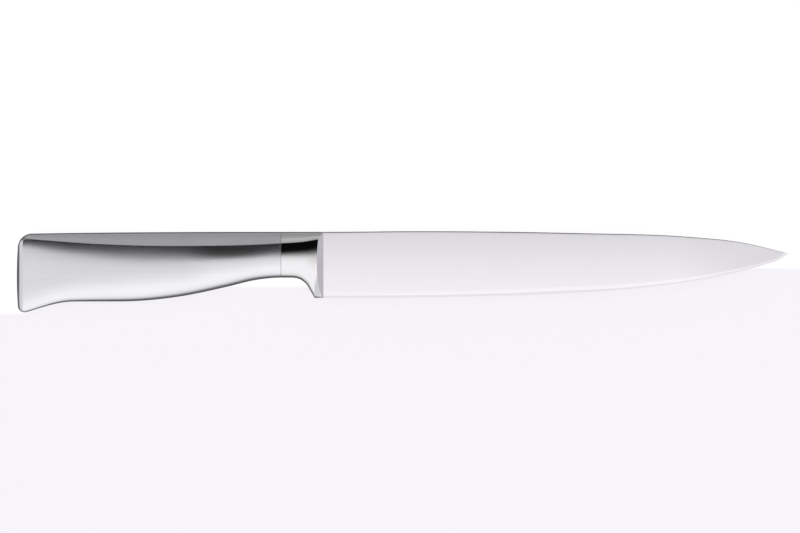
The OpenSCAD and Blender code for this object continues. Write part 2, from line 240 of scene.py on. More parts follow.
class Form:
    """The shapes of the knife, worked out from its sizes in millimetres."""

    # Spine and edge of the blade, as shares of its length and of the drop and the rise of its tip
    SPINE = [[0, 0], [0.2, -0.03], [0.55, 0.06], [0.78, 0.225], [0.9, 0.495], [1, 1]]
    EDGE = [
        [0, 0], [0.3, 0.028], [0.5, 0.095], [0.7, 0.25], [0.85, 0.49], [0.95, 0.755], [0.98, 0.865], [1, 1],
    ]

    # Lean of the side just under the crest, least share of the crest's depth and least depth of the widest
    # line in the top corner, and how softly the lower side starts to lean
    SIDE_LEAN = math.radians(21)
    CREST_FLOOR = 0.15
    WIDE_FLOOR = 2.5
    SLANT_SOFT = 0.15

    # Share of the bolster over which the guard's lower side becomes the neck's, and share of the blade past
    # which the bow of its sides fades out
    GUARD_PART = 0.45
    BOW_PART = 0.8

    # Length over which the ridge's rounding grows out of the spine's, and the most of the ridge's half width
    # and of a facet or a side that a rounding takes
    RIDGE_START = 3
    RIDGE_MOST = 0.6
    ROUND_MOST = 0.45

    # Where q is held, just short of 7, so that 7 belongs to the last stretch
    LAST_Q = 6.999999

    def __init__(self, scene):
        k = {}
        for group in (scene.knife_blade, scene.knife_handle):
            for name in group.__annotations__:
                lengthy = group.bl_rna.properties[name].unit == "LENGTH"
                k[name] = round(getattr(group, name) / (MM if lengthy else 1), 6)
        self.k = k = SimpleNamespace(**k)
        self.shell_l = k.handle_l - k.bolster_l
        self.end_u = k.handle_l - k.dome_h
        self.cap_u = k.handle_l - k.cap_l
        self.tip_y = k.blade_h - k.tip_drop
        self.wedge = (k.spine_t - k.edge_t) / 2 / k.blade_h
        self.taper_x = k.taper_from * k.blade_l
        self.taper = (k.edge_t / 2 + self.wedge * self.tip_y - k.tip_t / 2) / (k.blade_l - self.taper_x)
        at = lambda part: k.bolster_l + part * self.shell_l
        self.height_line = [
            [k.bolster_l, k.neck_h],
            [at(0.1), mix(k.neck_h, k.grip_h, 0.11)],
            [at(0.2), mix(k.neck_h, k.grip_h, 0.38)],
            [at(0.4), mix(k.neck_h, k.grip_h, 0.83)],
            [at(0.6), k.grip_h],
            [at(0.79), mix(k.grip_h, k.butt_h, -0.03)],
            [k.handle_l, k.butt_h],
        ]
        self.crest_line = [
            [0, k.crest_front],
            [k.bolster_l / 2, mix(k.crest_front, k.crest_neck, 0.67)],
            [k.bolster_l, k.crest_neck],
            [at(0.4), k.crest_grip],
            [at(0.7), mix(k.crest_grip, k.crest_butt, 0.28)],
            [k.handle_l, k.crest_butt],
        ]
        self.wide_line = [
            [0, k.wide_bolster],
            [k.bolster_l, k.wide_bolster],
            [at(0.15), mix(k.wide_bolster, k.wide_grip, 0.45)],
            [at(0.3), mix(k.wide_bolster, k.wide_grip, 0.8)],
            [at(0.5), k.wide_grip],
            [at(0.7), mix(k.wide_grip, k.wide_butt, 0.2)],
            [at(0.85), mix(k.wide_grip, k.wide_butt, 0.5)],
            [k.handle_l, k.wide_butt],
        ]
        self.ridge_line = [
            [0, k.spine_t / 2],
            [k.bolster_l, k.ridge_w / 2],
            [at(0.5), mix(k.ridge_w, k.ridge_butt_w, 0.26) / 2],
            [k.handle_l, k.ridge_butt_w / 2],
        ]
        self.swell_line = [
            [0, k.swell_bolster],
            [k.bolster_l, mix(k.swell_bolster, k.swell_neck, 0.1)],
            [at(0.17), k.swell_neck],
            [at(0.36), k.swell_grip],
            [at(0.8), mix(k.swell_grip, k.swell_butt, 0.5)],
            [k.handle_l, k.swell_butt],
        ]
        guard_end = self.GUARD_PART * k.bolster_l
        self.full_line = [
            [0, k.guard_fullness],
            [guard_end, k.neck_fullness],
            [k.bolster_l, k.neck_fullness],
            [at(0.2), mix(k.neck_fullness, k.belly_fullness, 0.05)],
            [at(0.4), mix(k.neck_fullness, k.belly_fullness, 0.85)],
            [at(0.7), mix(k.belly_fullness, k.butt_fullness, 0.2)],
            [k.handle_l, k.butt_fullness],
        ]
        neck, belly = math.tan(k.neck_slant), math.tan(k.belly_slant)
        self.slant_line = [
            [0, 0],
            [guard_end, neck],
            [at(0.15), neck],
            [at(0.35), belly],
            [k.handle_l, 0.8 * belly],
        ]
        self.lean_line = [[0, 2], [k.bolster_l, 2], [k.handle_l, k.side_fullness]]
        self.neck_y = k.blade_h - k.neck_h
        throat_low = self.neck_y - k.throat_r * (1 - math.cos(k.guard_angle))
        self.straight_u = k.guard_foot + throat_low / math.tan(k.guard_angle)
        self.throat_u = self.straight_u + k.throat_r * math.sin(k.guard_angle)
        shell_us = np.linspace(k.bolster_l, k.handle_l, 400)
        xs = np.linspace(0, k.blade_l, 400)
        low = self.bottom_y(np.append(shell_us, self.end_u)).min()
        wide_z = self.half_w(shell_us).max()
        self.middle = np.array([(k.blade_l - k.handle_l) / 2, (self.spine_y(xs).max() + low) / 2, -wide_z])

    def spine_y(self, x):
        """Height of the spine: the heel's height less the drop of the tip along the spine's curve."""
        return self.k.blade_h - self.k.tip_drop * curve(self.SPINE, x / self.k.blade_l)

    def edge_y(self, x):
        """Height of the edge: the rise to the tip along the edge's curve."""
        return (self.tip_y - self.k.tip_land) * curve(self.EDGE, x / self.k.blade_l)

    def corner_in(self, u, r):
        """How far a corner of radius r has drawn the outline in at u: r less the height of its circle."""
        past = u - self.end_u + r
        return np.where(past <= 0, 0, r - np.sqrt(np.maximum(0, r * r - past**2)))

    def back_y(self, u):
        """Back of the handle: level, and falling with the cube of the distance."""
        return self.k.blade_h - self.k.back_drop * (u / self.k.handle_l) ** 3

    def top_y(self, u):
        """Top outline: the back, with the butt's top corner rounded off."""
        return self.back_y(u) - self.corner_in(u, self.k.top_corner_r)

    def bottom_y(self, u):
        """Bottom outline: the foot, the straight back of the guard, the arc of the throat, the level neck,
        and then the back less the height curve, with the butt's bottom corner rounded off."""
        k = self.k
        slope = (u - k.guard_foot) * math.tan(k.guard_angle)
        arc = self.neck_y - k.throat_r + np.sqrt(np.maximum(0, k.throat_r**2 - (self.throat_u - u) ** 2))
        shell = self.back_y(u) - curve(self.height_line, u) + k.back_drop * (k.bolster_l / k.handle_l) ** 3
        shell = shell + self.corner_in(u, k.low_corner_r)
        return np.select(
            [u <= k.guard_foot, u <= self.straight_u, u <= self.throat_u, u <= k.bolster_l],
            [0 * u, slope, arc, 0 * u + self.neck_y],
            shell,
        )

    def crest_z(self, u):
        """Half width at the crest: the ridge and the facet at its tilt."""
        return curve(self.ridge_line, u) + curve(self.crest_line, u) * math.tan(self.k.facet_angle)

    def half_w(self, u):
        """Half width at the widest line: the crest and the swell of the side beyond it."""
        return self.crest_z(u) + curve(self.swell_line, u)

    def slanted(self, down):
        """How much of its slant the lower side has after that share of its height, with a soft start."""
        return down - self.SLANT_SOFT * (1 - np.exp(-down / self.SLANT_SOFT))

    def section(self, u, q, inset=0.0):
        """Half of the section at u as y and z, drawn in by inset. q counts its stretches from 0 to 7: the
        flat ridge, its rounded corner, the facet, hollowed by a parabola, the rounded crest, the side, whose
        lean grows with a power of the way up from the widest line, the belly, a quarter of a superellipse at
        even polar angles that also leans in by the slant, and the flat foot."""
        k = self.k
        u, q = np.broadcast_arrays(np.asarray(u, float), np.asarray(q, float))
        half_w = self.half_w(u)
        rim = 1 - self.corner_in(u, k.rim_r) / half_w
        top, low = self.top_y(u) - inset, self.bottom_y(u) + inset
        corner_in = self.corner_in(u, k.top_corner_r)
        depth_left = np.maximum(self.CREST_FLOOR, (1 - corner_in / k.top_corner_r) ** 2)
        depth = curve(self.crest_line, u) * depth_left
        crest_turn = (k.facet_angle + self.SIDE_LEAN) / 2
        crest = (
            self.top_y(u) - depth - inset * math.sin(crest_turn),
            (self.crest_z(u) - inset * math.cos(crest_turn)) * rim,
        )
        corner = (top, (curve(self.ridge_line, u) - inset * math.tan(k.facet_angle / 2)) * rim)
        wide_depth = np.maximum(curve(self.wide_line, u), corner_in + self.WIDE_FLOOR)
        wide = (self.back_y(u) - wide_depth, (half_w - inset) * rim)
        foot = k.foot_w / 2 * rim
        facet_l = np.hypot(crest[0] - corner[0], crest[1] - corner[1])
        ridge_round = mix(k.spine_round, k.ridge_round, smooth(u / self.RIDGE_START))
        round_most = np.minimum(self.RIDGE_MOST * corner[1], self.ROUND_MOST * facet_l)
        ridge_round = np.minimum(ridge_round, round_most)
        crest_round = np.minimum(k.crest_round, self.ROUND_MOST * facet_l) / facet_l
        along = ridge_round / facet_l
        side_l = np.maximum(crest[0] - wide[0], 1e-6)
        lean = curve(self.lean_line, u)
        first = 1 - np.minimum(k.crest_round / side_l, self.ROUND_MOST)
        t = np.clip(q - np.floor(np.minimum(q, self.LAST_Q)), 0, 1)

        def side(way):
            return mix(wide[0], crest[0], way), mix(wide[1], crest[1], way**lean)

        turn = t * math.pi / 2
        power = curve(self.full_line, u)
        reach = (np.sin(turn) ** power + np.cos(turn).clip(0) ** power) ** (1 / power)
        down, out_z = np.sin(turn) / reach, np.cos(turn) / reach
        slant = curve(self.slant_line, u) * (wide[0] - low) * rim
        crest_in = [mix(corner[i], crest[i], 1 - crest_round) for i in (0, 1)]
        crest_out = side(first)
        out = []
        for i in (0, 1):
            flat = [top, mix(0, corner[1] - ridge_round, t)][i]
            hollow = 4 * k.facet_hollow * t * (1 - t) * (corner[1 - i] - crest[1 - i]) * (1, -1)[i]
            facet = mix(mix(corner[i], crest[i], along), crest_in[i], t) + hollow
            leaning = mix(foot, wide[1] - slant * self.slanted(1), out_z)
            leaning = leaning + slant * (self.slanted(1) - self.slanted(down))
            belly = [mix(wide[0], low, down), leaning][i]
            out.append(np.select(
                [q < 1, q < 2, q < 3, q < 4, q < 5, q < 6],
                [
                    flat,
                    bend([top, corner[1] - ridge_round][i], corner[i], mix(corner[i], crest[i], along), t),
                    facet,
                    bend(crest_in[i], crest[i], crest_out[i], t),
                    side(first * (1 - t))[i],
                    belly,
                ],
                [low, foot * (1 - t)][i],
            ))
        return out

    def flank(self, x, y):
        """Half thickness of the ground blade: it grows evenly from edge to spine, bows out a little half way
        up, thins towards the tip past the start of the taper, and climbs the ramp behind the heel."""
        k = self.k
        way = np.clip(y / k.blade_h, 0, 1)
        fade = smooth((x / k.blade_l - self.BOW_PART) / (1 - self.BOW_PART))
        bow = 4 * k.flank_swell * way * (1 - way) * (1 - fade)
        taper = self.taper * np.maximum(0, x - self.taper_x)
        ramp = math.tan(k.ramp_angle) * np.maximum(0, -x)
        return k.edge_t / 2 + self.wedge * y - taper + bow + ramp


def to_frame(form, x, y, z):
    """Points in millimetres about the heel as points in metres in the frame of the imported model, held inside
    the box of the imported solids, which finer curves would leave by a few thousandths of a millimetre."""
    points = (np.stack(np.broadcast_arrays(x, y, z), -1) - form.middle) * MM
    return np.clip(points, *CAD_BOX)


def ringed(x, y, z):
    """Whole rings from half rings: down the right side from top to bottom, and up the left side."""
    back = slice(-2, 0, -1)
    return [np.concatenate([a, s * a[:, back]], 1) for a, s in ((x, 1), (y, 1), (z, -1))]


def skin(name, rings, slots, sharp, face_slots=None):
    """A closed mesh over a grid of rings: quads between neighbours, doubles merged so that poles close, all
    faces turned outwards, and edges sharper than the angle, in degrees, left sharp."""
    count, n = rings.shape[:2]
    i, j = np.meshgrid(np.arange(count - 1), np.arange(n), indexing="ij")
    k = (j + 1) % n
    quads = np.stack([i * n + j, i * n + k, (i + 1) * n + k, (i + 1) * n + j], -1).reshape(-1, 4)
    mesh = bpy.data.meshes.new(name)
    mesh.vertices.add(count * n)
    mesh.vertices.foreach_set("co", rings.reshape(-1).astype(np.float32))
    mesh.loops.add(quads.size)
    mesh.loops.foreach_set("vertex_index", quads.reshape(-1).astype(np.int32))
    mesh.polygons.add(len(quads))
    mesh.polygons.foreach_set("loop_start", np.arange(0, quads.size, 4, dtype=np.int32))
    if face_slots is not None:
        mesh.polygons.foreach_set("material_index", face_slots.reshape(-1).astype(np.int32))
    mesh.update(calc_edges=True)
    for material in slots:
        mesh.materials.append(material)
    work = bmesh.new()
    work.from_mesh(mesh)
    bmesh.ops.remove_doubles(work, verts=work.verts, dist=SAME_PLACE)
    bmesh.ops.dissolve_degenerate(work, edges=work.edges, dist=SAME_PLACE)
    if work.calc_volume(signed=True) < 0:
        bmesh.ops.reverse_faces(work, faces=work.faces)
    loose = [v for v in work.verts if not v.link_faces]
    bmesh.ops.delete(work, geom=loose, context="VERTS")
    work.to_mesh(mesh)
    work.free()
    mesh.polygons.foreach_set("use_smooth", np.ones(len(mesh.polygons), bool))
    mesh.set_sharp_from_angle(angle=math.radians(sharp))
    mesh.update()
    piece = bpy.data.objects.new(name, mesh)
    bpy.context.scene.collection.objects.link(piece)
    return piece


# Finishes


class Graph:
    """The nodes of one material or world."""

    def __init__(self, tree):
        self.tree = tree
        tree.nodes.clear()

    def node(self, kind, settings=(), **sockets):
        """Adds a node, sets its settings, and then gives its sockets values or links. _ in a socket's name
        stands for a space, and a name that is _ and a number picks the socket by its place."""
        made = self.tree.nodes.new(kind)
        for key, value in dict(settings).items():
            if key == "stops":
                ramp = made.color_ramp
                while len(ramp.elements) < len(value):
                    ramp.elements.new(1.0)
                for element, (position, grey) in zip(ramp.elements, value):
                    element.position = position
                    element.color = (grey, grey, grey, 1)
            else:
                setattr(made, key, value)
        for key, value in sockets.items():
            socket = made.inputs[int(key[1:]) if key[1:].isdigit() else key.replace("_", " ")]
            if isinstance(value, Wire):
                self.tree.links.new(value.socket, socket)
            else:
                socket.default_value = value
        return made

    def wire(self, kind, output, settings=(), **sockets):
        """The output of a new node, ready for maths."""
        return Wire(self, self.node(kind, settings, **sockets).outputs[output])


class Wire:
    """A socket that can be used in sums."""

    def __init__(self, graph, socket):
        self.graph, self.socket = graph, socket

    def maths(self, operation, a, b=0.0, clamp=False):
        return self.graph.wire("ShaderNodeMath", 0, {"operation": operation, "use_clamp": clamp}, _0=a, _1=b)

    def __add__(self, other):
        return self.maths("ADD", self, other)

    def __sub__(self, other):
        return self.maths("SUBTRACT", self, other)

    def __rsub__(self, other):
        return self.maths("SUBTRACT", other, self)

    def __mul__(self, other):
        return self.maths("MULTIPLY", self, other)

    def __truediv__(self, other):
        return self.maths("DIVIDE", self, other)

    def at_most(self, other):
        return self.maths("MINIMUM", self, other)

    def clamped(self):
        return self.maths("ADD", self, clamp=True)


def material(name):
    """A new node material and its graph."""
    made = bpy.data.materials.new(name)
    made.use_nodes = True
    return made, Graph(made.node_tree)


def streaks(g, where, size, detail):
    """Noise drawn out along the grain: size is the length of a streak along x, y and z in millimetres."""
    scale = [1 / (s * MM) for s in size]
    spot = g.wire("ShaderNodeMapping", 0, Vector=where, Scale=scale)
    return g.wire("ShaderNodeTexNoise", "Fac", Vector=spot, Scale=1.0, Detail=detail, Roughness=0.6)


def blend_colours(g, factor, first, second):
    """A colour on the way from the first to the second: each is three numbers, or a link."""
    first, second = [c if isinstance(c, Wire) else (*c, 1) for c in (first, second)]
    return g.wire("ShaderNodeMix", 2, {"data_type": "RGBA"}, Factor=factor, _6=first, _7=second)


def shade(g, colour, amount):
    """The colour made up to a fifth darker or lighter by the amount, which runs from -0.5 to 0.5."""
    dark, light = [c * 0.8 for c in colour], [min(c * 1.2, 1) for c in colour]
    return blend_colours(g, (amount + 0.5).clamped(), dark, light)


# Size in millimetres of the soft patches in a steel's roughness, and where along x, in metres, the painted
# shade towards the tip begins and over what length it comes in
PATCH = (25, 25, 25)
TIP_FROM, TIP_OVER = 0.12, 0.04


def steel(name, colour, rough, rim, grain, depth, unevenness, painted_tip_shade=0.0):
    """Bare steel. Fine streaks of the grain's size, and broad ones four times as large, vary its colour,
    roughness and height, and wide soft patches vary its roughness a little, as on steel finished by hand.
    The tip shade is painted shade: it darkens the colour evenly towards the tip, where the light falls off."""
    made, g = material(name)
    where = g.wire("ShaderNodeTexCoord", "Object")
    fine = streaks(g, where, grain, 3.0)
    broad = streaks(g, where, [s * 4 for s in grain], 2.0)
    patch = streaks(g, where, PATCH, 1.0)
    amount = (fine - 0.5) * unevenness + (broad - 0.5) * unevenness
    # Painted shade: the colour darkens evenly towards the tip, standing in for the light falling off there
    if painted_tip_shade:
        split = g.node("ShaderNodeSeparateXYZ", _0=where)
        near_tip = ((Wire(g, split.outputs[0]) - TIP_FROM) / TIP_OVER).clamped()
        amount = amount - near_tip * painted_tip_shade
    colour_in = shade(g, colour, amount)
    rough_in = ((patch - 0.5) * (0.3 * rough) + (fine - 0.5) * (0.6 * rough * unevenness) + rough).clamped()
    bump = g.wire("ShaderNodeBump", 0, Strength=1.0, Distance=depth * MM, Height=fine + broad)
    surface = g.wire(
        "ShaderNodeBsdfPrincipled", 0, Base_Color=colour_in, Roughness=rough_in, Metallic=1.0,
        Specular_Tint=(*rim, 1), Normal=bump,
    )
    g.node("ShaderNodeOutputMaterial", _0=surface)
    return made


def finished(piece, slot, *nodes):
    """Hands a piece over: hides the imported parts that it stands for and attaches it to its body; the slot is
    not used.
    """
    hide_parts(*nodes)
    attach(piece, BODY)
    return piece


# Pieces


def lens_end(form):
    """How far behind the heel the ramp has climbed to the bolster's widest part, found by halving."""
    low, high = 0.5, form.k.bolster_l / 2
    q = np.linspace(0, 7, 4001)[None, :]
    for _ in range(40):
        u = (low + high) / 2
        y, z = form.section(np.array([[u]]), q)
        low, high = (u, high) if (z - form.flank(-u, y)).max() > 0 else (low, u)
    return low


def crossings(form, u):
    """Where the ramp cuts the half section at each u: the first and the last q where the section stands
    out, each taken on to the cut itself along a straight line between two neighbouring points."""
    q = np.linspace(0, 7, 7001)[None, :]
    y, z = form.section(u[:, None], q)
    out = z - form.flank(-u[:, None], y)
    inside = out > 0
    first = inside.argmax(1)
    last = inside.shape[1] - 1 - inside[:, ::-1].argmax(1)
    rows = np.arange(len(u))

    def between(a, b):
        da, db = out[rows, a], out[rows, b]
        return q[0, a] + (q[0, b] - q[0, a]) * (da / np.where(da == db, 1, da - db)).clip(0, 1)

    return between(np.maximum(first - 1, 0), first), between(np.minimum(last + 1, q.shape[1] - 1), last)


class KNIFE_OT_blade(bpy.types.Operator):
    """Blade, ramp, bolster, finger guard, spigot and tang as one forged skin"""

    bl_idname = "knife.blade"
    bl_label = "Forged blade"

    # Points on half of a ring: from the spine's middle round its corner, down the flank, and to the edge
    TOP, FLANK, LOW = 44, 26, 30
    # Rings along the blade and the ramp, and along the guard's foot and slope, the throat and the neck
    TIP_STEPS, LENS_STEPS = 120, 56
    FOOT_STEPS, SLOPE_STEPS, THROAT_STEPS, NECK_STEPS = 8, 24, 24, 12
    # Step for the rise of the edge, least share of the height that stays above the bevel, and the most of
    # the flank's height and of the spine's half width that the spine's rounding takes
    RISE_STEP = 0.5
    ABOVE_BEVEL = 0.3
    ROUND_HIGH, ROUND_WIDE = 0.3, 0.6
    # Behind the ramp the flank's points spread out again about its end: from the first of these widths, by
    # the second, both counted in stretches of the section, over the third, in millimetres
    BAND_LEAST, BAND_MORE, BAND_OVER = 0.02, 0.6, 6
    # Edges sharper than this many degrees stay sharp
    SHARP = 11
    # Slots of the faces
    POLISHED, GROUND, WHETTED = 0, 1, 2

    def execute(self, context):
        form = Form(context.scene)
        k = form.k
        top, flank, low = self.TOP, self.FLANK, self.LOW

        # Blade rings from the tip to the heel: half of the spine, the flank, and the cutting bevel
        x = (k.blade_l * np.cos(np.linspace(0, np.pi / 2, self.TIP_STEPS)))[:, None]
        x[-1] = 0
        high, edge = form.spine_y(x), form.edge_y(x)
        rise = (form.edge_y(x) - form.edge_y(x - self.RISE_STEP)) / self.RISE_STEP
        lean = math.tan(k.bevel_angle) / np.sqrt(1 + rise**2)
        base = form.flank(x, 0 * x)
        bevel_most = high - self.ABOVE_BEVEL * (high - edge)
        bevel_y = np.minimum((base + edge * lean) / (lean - form.wedge), bevel_most)
        bevel_z = np.minimum((bevel_y - edge) * lean, form.flank(x, bevel_y))
        half_top = np.minimum(form.flank(x, high), (high - edge) * lean)
        r = np.minimum(k.spine_round * half_top / (k.spine_t / 2), self.ROUND_HIGH * (high - bevel_y))
        half_side = np.minimum(form.flank(x, high - r), (high - r - edge) * lean)
        flat = half_top - np.minimum(r, self.ROUND_WIDE * half_top)
        t = np.linspace(0, 2, top + 1)[None, :]
        round_t = (t - 1).clip(0, 1)
        top_y = np.where(t < 1, high, bend(high, high, high - r, round_t))
        top_z = np.where(t < 1, flat * t, bend(flat, half_top, half_side, round_t))
        way = np.linspace(0, 1, flank)[None, 1:]
        side_y = mix(high - r, bevel_y, way)
        side_z = np.minimum(form.flank(x, side_y), (side_y - edge) * lean)
        side_z[:, -1:] = bevel_z
        way = np.linspace(0, 1, low + 2)[None, 1:]
        y = np.concatenate([top_y, side_y, mix(bevel_y, edge, way)], 1)
        z = np.concatenate([top_z, side_z, mix(bevel_z, 0, way)], 1)
        blade = ringed(x + 0 * y, y, z)

        # Bolster rings: where the ramp cuts the section, both ends of the cut keep their places in the ring
        end = lens_end(form)
        lens_u = end * np.sin(np.linspace(0, np.pi / 2, self.LENS_STEPS))[:-1]
        later = np.concatenate([
            np.linspace(end, k.guard_foot, self.FOOT_STEPS),
            np.linspace(k.guard_foot, form.straight_u, self.SLOPE_STEPS)[1:],
            form.throat_u - k.throat_r * np.sin(np.linspace(k.guard_angle, 0, self.THROAT_STEPS))[1:],
            np.linspace(form.throat_u, k.bolster_l - k.seam_in, self.NECK_STEPS)[1:],
        ])
        q1, q2 = crossings(form, lens_u)
        tip_q = (q1[-1] + q2[-1]) / 2
        wide = self.BAND_LEAST + self.BAND_MORE * smooth((later - end) / self.BAND_OVER)
        q1 = np.concatenate([q1, tip_q - wide])[:, None]
        q2 = np.concatenate([q2, tip_q + wide])[:, None]
        u = np.concatenate([lens_u, later])[:, None]
        cut = np.arange(len(u))[:, None] < len(lens_u)
        bevel_share = 1 - bevel_y[-1, 0] / (high[-1, 0] - r[-1, 0])
        steps = np.append(np.linspace(0, 1, flank)[1:] * bevel_share, 1.0)[None, :]
        ya, za = form.section(u, mix(0, q1, np.linspace(0, 1, top + 1)[None, :]))
        yc, zc = form.section(u, mix(q2, 7, np.linspace(0, 1, low + 1)[None, 1:]))
        yb, zb = form.section(u, mix(q1, q2, steps))
        y2, z2 = form.section(u, q2)
        ramp_y = mix(ya[:, -1:], y2, steps)
        yb = np.where(cut, ramp_y, yb)
        zb = np.where(cut, form.flank(-u, ramp_y), zb)
        y, z = np.concatenate([ya, yb, yc], 1), np.concatenate([za, zb, zc], 1)
        bolster = ringed(-u + 0 * y, y, z)

        # The seam, the spigot inside the shells and the tang
        q = np.concatenate([
            mix(0, q1[-1], np.linspace(0, 1, top + 1)),
            mix(q1[-1], q2[-1], steps[0]),
            mix(q2[-1], 7, np.linspace(0, 1, low + 1)[1:]),
        ])[None, :]
        plug = k.wall_t + k.plug_gap
        spigot_u = k.bolster_l + k.spigot_l
        u = np.array([k.bolster_l, k.bolster_l, spigot_u])[:, None]
        y, z = form.section(u, q, np.array([SEAM_FOOT * k.seam_in, plug, plug])[:, None])
        tang_ends = ((spigot_u, k.tang_h), (k.tang_end, k.tang_end_h))
        tang = [self.tang(form, y[-1:], z[-1:], tang_u, height) for tang_u, height in tang_ends]
        u = np.concatenate([u, [[spigot_u], [k.tang_end]]])
        y, z = [np.concatenate([a, tang[0][i], tang[1][i]]) for i, a in enumerate((y, z))]
        rear = ringed(-u + 0 * y, y, z)

        rings = [np.concatenate(parts) for parts in zip(blade, bolster, rear)]
        ends = [[a[:1].mean() + 0 * a[:1], a, a[-1:].mean() + 0 * a[-1:]] for a in rings]
        rings = [np.concatenate(parts) for parts in ends]
        points = to_frame(form, *rings)

        # The blade is ground with a whetted bevel, the ramp is ground, and all behind it is polished
        n = points.shape[1]
        j = np.arange(n)
        j = np.minimum(j, n - 1 - j)
        heel = len(x) + 1
        slots = np.full((len(points) - 1, n), self.POLISHED)
        slots[:heel] = np.where(j >= top + flank - 1, self.WHETTED, self.GROUND)
        on_ramp = (j >= top) & (j < top + flank)
        slots[heel : heel + len(lens_u)] = np.where(on_ramp, self.GROUND, self.POLISHED)
        look = context.scene.knife_finish
        finishes = [
            steel(
                "polished steel", look.polished, look.polished_rough, look.rim_tint,
                grain=(6, 0.3, 6), depth=0.0002, unevenness=0.02,
            ),
            # The ground blade's colour carries painted shade towards the tip
            steel(
                "ground steel", look.ground, look.ground_rough, look.rim_tint,
                grain=(0.12, 14, 14), depth=0.0006, unevenness=0.07, painted_tip_shade=look.painted_tip_shade,
            ),
            steel(
                "whetted steel", look.whetted, look.ground_rough, look.rim_tint,
                grain=(0.1, 4, 4), depth=0.0006, unevenness=0.04,
            ),
        ]
        piece = skin("forged_blade", points, finishes, self.SHARP, face_slots=slots)
        finished(piece, "blade_steel", "blade")
        return {"FINISHED"}

    @staticmethod
    def tang(form, y, z, u, height):
        """The half ring drawn in to a rectangle as high as the tang and as wide as it is thick."""
        middle = float(form.top_y(np.array(u)) + form.bottom_y(np.array(u))) / 2
        return np.clip(y, middle - height / 2, middle + height / 2), np.clip(z, 0, form.k.tang_t / 2)


# Edges of the shells and the cap that are sharper than this many degrees stay sharp
SHARP = 14

# The seam's foot lies this many times as deep as the seam is wide
SEAM_FOOT = 2.5

# Places of the points on half a section of the shells and the cap, closest on the roundings and the belly
SECTION_Q = np.concatenate([
    *[np.linspace(i, i + 1, n)[:-1] for i, n in enumerate((4, 9, 9, 9, 25, 45))],
    np.linspace(6, 7, 4),
])


class KNIFE_OT_shells(bpy.types.Operator):
    """The two pressed half shells of the handle, each a trough with its wall"""

    bl_idname = "knife.shells"
    bl_label = "Handle shells"

    # Rings along a shell
    STEPS = 170

    def execute(self, context):
        form = Form(context.scene)
        k = form.k
        look = context.scene.knife_finish
        satin = steel(
            "satin steel", look.satin, look.satin_rough, look.rim_tint,
            grain=(26, 0.3, 7), depth=0.0012, unevenness=0.18,
        )
        u = np.linspace(k.bolster_l + k.seam_in, form.cap_u, self.STEPS)
        u = np.append(k.bolster_l, u)[:, None]
        seam = np.zeros_like(u)
        seam[0] = SEAM_FOOT * k.seam_in
        q = SECTION_Q[None, :]
        outer, inner = form.section(u, q, seam), form.section(u, q, k.wall_t)
        y, z = [np.concatenate([a, b[:, ::-1]], 1) for a, b in zip(outer, inner)]
        # At each end the outer half of the ring folds onto the inner one, which closes the wall
        fold = np.arange(2 * len(SECTION_Q))
        fold = np.maximum(fold, fold[::-1])
        y, z = [np.concatenate([a[:1, fold], a, a[-1:, fold]]) for a in (y, z)]
        u = np.concatenate([u[:1], u, u[-1:]])
        for name, side in (("right", 1), ("left", -1)):
            points = to_frame(form, -u + 0 * y, y, side * z)
            piece = skin(name + "_shell", points, [satin], SHARP)
            finished(piece, "handle_steel", "handle_shell_" + name)
        return {"FINISHED"}


class KNIFE_OT_end_cap(bpy.types.Operator):
    """The domed cap that closes the butt, with its plug"""

    bl_idname = "knife.end_cap"
    bl_label = "End cap"

    # Rings round the rim and over the dome
    RIM_STEPS, DOME_STEPS = 40, 12

    def execute(self, context):
        form = Form(context.scene)
        k = form.k
        q = SECTION_Q[None, :]
        plug = k.wall_t + k.plug_gap
        u = np.concatenate([
            [form.cap_u - k.cap_plug_l, form.cap_u],
            mix(form.cap_u, form.end_u, np.sin(np.linspace(0, np.pi / 2, self.RIM_STEPS))),
        ])[:, None]
        inset = np.zeros_like(u)
        inset[:2] = plug
        y, z = form.section(u, q, inset)
        # The dome: the last ring shrinks about its middle, and rises as the square of its size falls
        size = np.linspace(1, 0, self.DOME_STEPS)[1:, None]
        middle = (y[-1, 0] + y[-1, -1]) / 2
        y = np.concatenate([y[:1] * 0 + (y[0, 0] + y[0, -1]) / 2, y, mix(middle, y[-1:], size)])
        z = np.concatenate([z[:1] * 0, z, z[-1:] * size])
        u = np.concatenate([u[:1], u, form.end_u + k.dome_h * (1 - size**2)])
        piece = skin("domed_end_cap", to_frame(form, *ringed(-u + 0 * y, y, z)),
                     [bpy.data.materials["satin steel"]], SHARP)
        finished(piece, "handle_steel", "end_cap")
        return {"FINISHED"}


class KNIFE_OT_weight(bpy.types.Operator):
    """The finish of the balance weight, which keeps its own solid inside the handle"""

    bl_idname = "knife.weight"
    bl_label = "Balance weight"

    def execute(self, context):
        look = context.scene.knife_finish
        raw = steel(
            "raw steel", look.raw, look.raw_rough, (0.5, 0.5, 0.5),
            grain=(1.5, 1.5, 1.5), depth=0.02, unevenness=0.3,
        )
        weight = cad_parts["balance_weight"]
        weight.data.materials.clear()
        weight.data.materials.append(raw)
        return {"FINISHED"}


